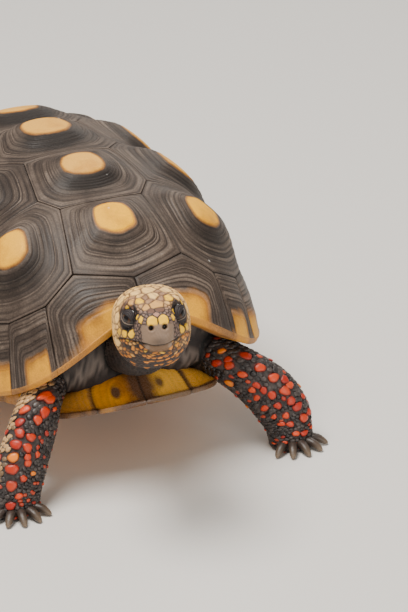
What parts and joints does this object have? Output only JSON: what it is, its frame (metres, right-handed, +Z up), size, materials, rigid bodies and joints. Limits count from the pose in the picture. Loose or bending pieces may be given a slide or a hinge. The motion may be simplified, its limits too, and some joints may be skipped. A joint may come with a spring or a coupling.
{
  "type": "tortoise",
  "caption": "Life-size standing red-footed tortoise: domed ridged shell, raised head turned aside, clawed legs on flat soles; a still museum model.",
  "frame": {"origin": "middle of the bounding box at floor level, under the belly", "axes": "+Z up, the head towards -Y, the tortoise's own left towards +X"},
  "size_m": [0.1516, 0.2748, 0.1189],
  "materials": {
    "carapace_horn": "dull ridged horn, dark grey-brown with pale yellow-tan plate centres",
    "plastron_horn": "smooth amber and yellow horn with dark growth lines",
    "skin": "dry folded charcoal skin with small scales, red and orange scales on the legs",
    "head_scales": "dry smooth scales, cream crown, yellow and orange patches, grey-tan beak",
    "eye": "wet and glossy, nearly black with a dark amber-brown iris",
    "claw": "blunt dark horn with paler tips"
  },
  "bodies": {
    "root": {"claw_foreleg_left_1": "claw", "claw_foreleg_left_2": "claw", "claw_foreleg_left_3": "claw", "claw_foreleg_left_4": "claw", "claw_foreleg_left_5": "claw", "claw_foreleg_right_1": "claw", "claw_foreleg_right_2": "claw", "claw_foreleg_right_3": "claw", "claw_foreleg_right_4": "claw", "claw_foreleg_right_5": "claw", "claw_hindleg_left_1": "claw", "claw_hindleg_left_2": "claw", "claw_hindleg_left_3": "claw", "claw_hindleg_left_4": "claw", "claw_hindleg_right_1": "claw", "claw_hindleg_right_2": "claw", "claw_hindleg_right_3": "claw", "claw_hindleg_right_4": "claw", "costal_left_1": "carapace_horn", "costal_left_2": "carapace_horn", "costal_left_3": "carapace_horn", "costal_left_4": "carapace_horn", "costal_right_1": "carapace_horn", "costal_right_2": "carapace_horn", "costal_right_3": "carapace_horn", "costal_right_4": "carapace_horn", "eye_left": "eye", "eye_right": "eye", "foreleg_left_lower": "skin", "foreleg_left_upper": "skin", "foreleg_right_lower": "skin", "foreleg_right_upper": "skin", "head": "head_scales", "hindleg_left_lower": "skin", "hindleg_left_upper": "skin", "hindleg_right_lower": "skin", "hindleg_right_upper": "skin", "lower_jaw": "head_scales", "neck": "skin", "plastron_abdominals": "plastron_horn", "plastron_anals": "plastron_horn", "plastron_femorals": "plastron_horn", "plastron_gulars": "plastron_horn", "plastron_humerals": "plastron_horn", "plastron_pectorals": "plastron_horn", "rim_left_bridge": "carapace_horn", "rim_left_front": "carapace_horn", "rim_left_rear": "carapace_horn", "rim_right_bridge": "carapace_horn", "rim_right_front": "carapace_horn", "rim_right_rear": "carapace_horn", "rim_tail": "carapace_horn", "tail": "skin", "trunk": "skin", "vertebral_1": "carapace_horn", "vertebral_2": "carapace_horn", "vertebral_3": "carapace_horn", "vertebral_4": "carapace_horn", "vertebral_5": "carapace_horn"}
  },
  "joints": []
}
